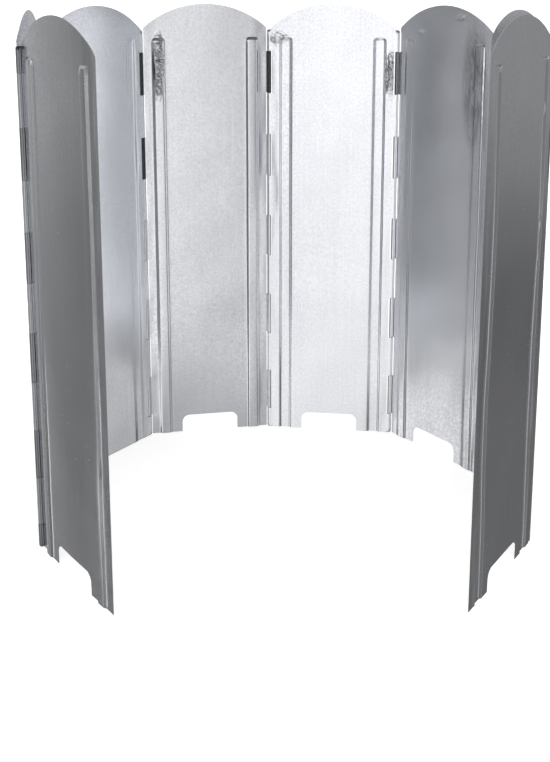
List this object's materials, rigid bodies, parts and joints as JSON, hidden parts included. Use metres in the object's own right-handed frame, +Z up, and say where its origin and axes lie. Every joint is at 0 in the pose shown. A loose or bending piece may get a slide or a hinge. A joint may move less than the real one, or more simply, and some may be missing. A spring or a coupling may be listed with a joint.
{
  "type": "folding stove windscreen",
  "caption": "Folding camping-stove windscreen: arched sheet-metal panels with pressed ribs and air vents in the bottom edge, joined by rolled hinges on steel wires.",
  "frame": {"origin": "on the ground, below the middle of the standing screen's plan", "axes": "+Z up along the panels, -Y out through the open front, +X to the right seen from the front"},
  "size_m": [0.2828, 0.2389, 0.297],
  "materials": {
    "panel_sheet": "satin mill finish",
    "hinge_wire": "bright drawn wire"
  },
  "bodies": {
    "left_end_panel": {"left_end_panel": "panel_sheet", "hinge_pin_1": "hinge_wire"},
    "panel_2": {"panel_2": "panel_sheet"},
    "panel_3": {"panel_3": "panel_sheet", "hinge_pin_2": "hinge_wire", "hinge_pin_3": "hinge_wire"},
    "panel_4": {"panel_4": "panel_sheet"},
    "panel_5": {"panel_5": "panel_sheet", "hinge_pin_4": "hinge_wire", "hinge_pin_5": "hinge_wire"},
    "panel_6": {"panel_6": "panel_sheet"},
    "panel_7": {"panel_7": "panel_sheet", "hinge_pin_6": "hinge_wire", "hinge_pin_7": "hinge_wire"},
    "right_end_panel": {"right_end_panel": "panel_sheet"}
  },
  "joints": [
    {"name": "hinge_1", "type": "hinge", "parent": "panel_2", "child": "left_end_panel", "pos_m": [-0.1355, -0.04939, 0.14], "axis": [0, 0, 1], "range_deg": [-202, 138]},
    {"name": "hinge_2", "type": "hinge", "parent": "panel_3", "child": "panel_2", "pos_m": [-0.13995, 0.03549, 0.14], "axis": [0, 0, -1], "range_deg": [-73, 209]},
    {"name": "hinge_3", "type": "hinge", "parent": "panel_4", "child": "panel_3", "pos_m": [-0.08998, 0.10426, 0.14], "axis": [0, 0, 1], "range_deg": [-44, 126]},
    {"name": "hinge_4", "type": "hinge", "parent": "panel_4", "child": "panel_5", "pos_m": [-0.00628, 0.11902, 0.14], "axis": [0, 0, 1], "range_deg": [-36, 188]},
    {"name": "hinge_5", "type": "hinge", "parent": "panel_5", "child": "panel_6", "pos_m": [0.0779, 0.10719, 0.14], "axis": [0, 0, -1], "range_deg": [-44, 123]},
    {"name": "hinge_6", "type": "hinge", "parent": "panel_6", "child": "panel_7", "pos_m": [0.12665, 0.03756, 0.14], "axis": [0, 0, 1], "range_deg": [-70.5, 196]},
    {"name": "hinge_7", "type": "hinge", "parent": "panel_7", "child": "right_end_panel", "pos_m": [0.13995, -0.04639, 0.14], "axis": [0, 0, -1], "range_deg": [-213, 127]}
  ],
  "couplings": [
    {"joint": "hinge_2", "follows": "hinge_3", "ratio": 1.6587},
    {"joint": "hinge_6", "follows": "hinge_5", "ratio": 1.5934}
  ]
}
